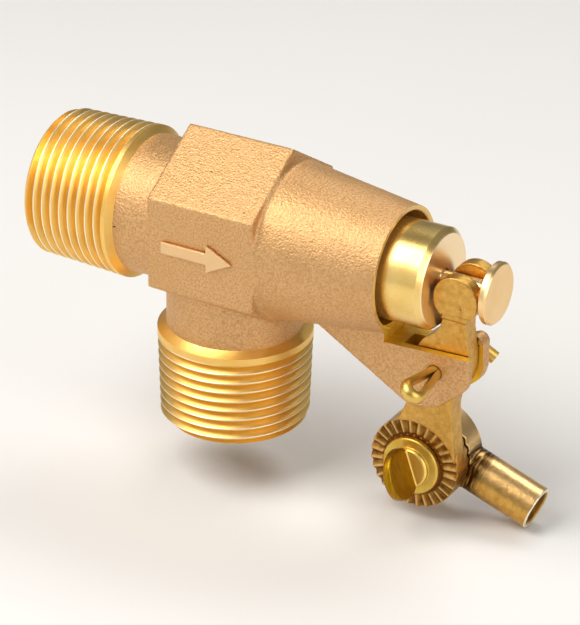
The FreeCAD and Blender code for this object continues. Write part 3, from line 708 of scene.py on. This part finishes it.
def machining():
    """Everything that is cut out of the casting."""
    past = 1.0
    chamfer = MOUTH_EDGE + past
    through = revolved("through", [
        (-past, 0), (-past, BORE_R), (SEAT_WALL_X0, BORE_R), (SEAT_WALL_X0, SEAT_HOLE_R),
        (SEAT_WALL_X1, SEAT_HOLE_R), (SEAT_WALL_X1, BORE_R), (CHAMBER_X1, BORE_R),
        (CHAMBER_X1, GUIDE_R), (MOUTH_X, GUIDE_R), (MOUTH_X, MOUTH_R),
        (BARREL_END_X - MOUTH_EDGE, MOUTH_R), (BARREL_END_X + past, MOUTH_R + chamfer),
        (BARREL_END_X + past, 0),
    ], ON_X, MILLED, 160)
    rise, port_height = OUTLET_BORE_TOP - OUTLET_FACE_Z, 11.0
    port_top = rise + port_height
    outlet = revolved("outlet_bore", [
        (-past, 0), (-past, BORE_R), (rise, BORE_R), (rise, PORT_R), (port_top, PORT_R), (port_top, 0),
    ], UP_OUTLET, MILLED)
    wide, high, deep = 20.0, 14.3, 4.0
    end_face = slab("end_face", [
        (BARREL_END_X, -high), (BARREL_END_X + deep, -high),
        (BARREL_END_X + deep, high), (BARREL_END_X, high),
    ], -wide, wide, MILLED)
    end_x = EAR_END_X + past
    step = slab("step", [
        (FLOOR_X, FLOOR_Z), (end_x, FLOOR_Z + FLOOR_RISE), (end_x, LIP_CUT_Z), (FLOOR_X, LIP_CUT_Z),
    ], NEAR_EAR_Y - past, FAR_EAR_Y + past, MILLED)
    under_ears = -50
    slot = slab("slot", [
        (SLOT_X, under_ears), (end_x, under_ears), (end_x, LIP_CUT_Z), (SLOT_X, LIP_CUT_Z),
    ], -SLOT_Y, SLOT_Y, MILLED)
    on_pin = Matrix(((0, 0, 1, PIVOT_X), (1, 0, 0, 0), (0, 1, 0, PIVOT_Z), (0, 0, 0, 1)))
    half = 8
    pin_hole = revolved("pin_hole", [
        (-half, 0), (-half, PIN_HOLE_R), (half, PIN_HOLE_R), (half, 0),
    ], on_pin, MILLED, 48)
    return through, outlet, end_face, step, slot, pin_hole


def valve_body():
    """The casting with its nipples, cut to shape; the lug is added after the step is cut."""
    body = combine(body_blank(), [flow_arrow()], "UNION")
    nipples = [
        nipple(INLET_THREAD, INLET_LAND, INLET_NECK_R, INLET_CREST, ON_X),
        nipple(OUTLET_THREAD, OUTLET_LAND, OUTLET_NECK_R, OUTLET_CREST, UP_OUTLET),
    ]
    combine(body, nipples, "UNION")
    through, outlet, end_face, step, slot, pin_hole = machining()
    combine(body, [end_face, step], "DIFFERENCE")
    combine(body, [stop_lug()], "UNION")
    combine(body, [through, outlet, slot, pin_hole], "DIFFERENCE")
    shade(body, 32)
    body.name = "body_casting"
    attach(body, "body")
    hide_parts("valve_body")


# ---- Lever, rod arm and thumb screw -----------------------------------------------------

def tumbled(name, node, body, material, voxel=0.2, lumps=0.02):
    """A CAD casting with soft edges and a slightly uneven surface in place of its node."""
    mesh = NODES[node].data.copy()
    mesh.materials.clear()
    mesh.materials.append(material)
    copy = bpy.data.objects.new(name, mesh)
    bpy.context.scene.collection.objects.link(copy)
    cast_skin(copy, voxel, smoothing=3, lumps=lumps)
    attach(copy, body)
    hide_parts(node)


valve_body()
tumbled("lever_casting", "lever", "lever", LEVER)
tumbled("rod_arm_casting", "rod_arm", "rod_arm", SOCKET)
tumbled("thumb_screw_casting", "thumb_screw", "thumb_screw", SCREW,
        voxel=0.14, lumps=0.008)


# ---- Floor, lights and camera -----------------------------------------------------------

def floor():
    """Pale plane just under the lowest point of the valve."""
    half_size, gap = 3.0, 0.5 * MM
    lowest_z = CAD_BOX[0][2]
    mesh = bpy.data.meshes.new("floor")
    grid = bmesh.new()
    bmesh.ops.create_grid(grid, x_segments=8, y_segments=8, size=half_size)
    grid.to_mesh(mesh)
    grid.free()
    mesh.materials.append(pale_floor())
    plane = bpy.data.objects.new("floor", mesh)
    plane.location = (0.05, 0, lowest_z - gap)
    bpy.context.scene.collection.objects.link(plane)


def soft_light(name, azimuth, elevation, distance, size, power, aim, colour=(1, 1, 1)):
    """Rectangular area light, seen from aim at an azimuth (0 is -Y, 90 is +X) and elevation."""
    data = bpy.data.lights.new(name, "AREA")
    data.shape = "RECTANGLE"
    data.size, data.size_y = size
    data.energy = power
    data.color = colour
    lamp = bpy.data.objects.new(name, data)
    turn, rise = math.radians(azimuth), math.radians(elevation)
    away = Vector((math.sin(turn) * math.cos(rise), -math.cos(turn) * math.cos(rise), math.sin(rise)))
    lamp.location = aim + away * distance
    lamp.rotation_euler = away.to_track_quat("Z", "Y").to_euler()
    bpy.context.scene.collection.objects.link(lamp)


def studio():
    """Plain soft lights; the standard view transform keeps the golds from turning pale."""
    bpy.context.scene.view_settings.view_transform = "Standard"
    world = bpy.data.worlds.new("studio")
    world.use_nodes = True
    background = world.node_tree.nodes["Background"]
    background.inputs["Color"].default_value = rgb(1.0, 0.97, 0.92)
    background.inputs["Strength"].default_value = 0.21
    bpy.context.scene.world = world
    aim = Vector((0.055, 0, -0.02))
    # Name, azimuth, elevation, distance, size, power, aim and colour.
    soft_light("key", -35, 55, 0.7, (0.55, 0.45), 4.6, aim, (1.0, 0.97, 0.94))
    soft_light("front", -40, 18, 0.9, (0.8, 0.6), 1.1, aim)
    soft_light("fill", 75, 20, 0.8, (0.5, 0.5), 2.5, aim, (1.0, 0.97, 0.93))
    soft_light("back", 170, 55, 0.8, (0.6, 0.3), 2.4, aim)


def camera():
    """Camera at the photograph's viewing angle."""
    azimuth, elevation, roll = (math.radians(a) for a in (29.904, 27.163, 0.70))
    distance, target = 0.6973, Vector((0.05856, -0.00333, -0.01522))
    along = math.cos(elevation)
    back = Vector((math.sin(azimuth) * along, -math.cos(azimuth) * along, math.sin(elevation)))
    level = Vector((math.cos(azimuth), math.sin(azimuth), 0))
    rise = back.cross(level)
    right = level * math.cos(roll) + rise * math.sin(roll)
    up = rise * math.cos(roll) - level * math.sin(roll)
    data = bpy.data.cameras.new("photo_view")
    data.lens, data.sensor_width = 191.8, 36
    data.clip_start, data.clip_end = 0.01, 20
    eye = bpy.data.objects.new("photo_view", data)
    turned = Matrix((right, up, back)).transposed().to_4x4()
    eye.matrix_world = Matrix.Translation(target + back * distance) @ turned
    bpy.context.scene.collection.objects.link(eye)
    bpy.context.scene.camera = eye


floor()
studio()
camera()
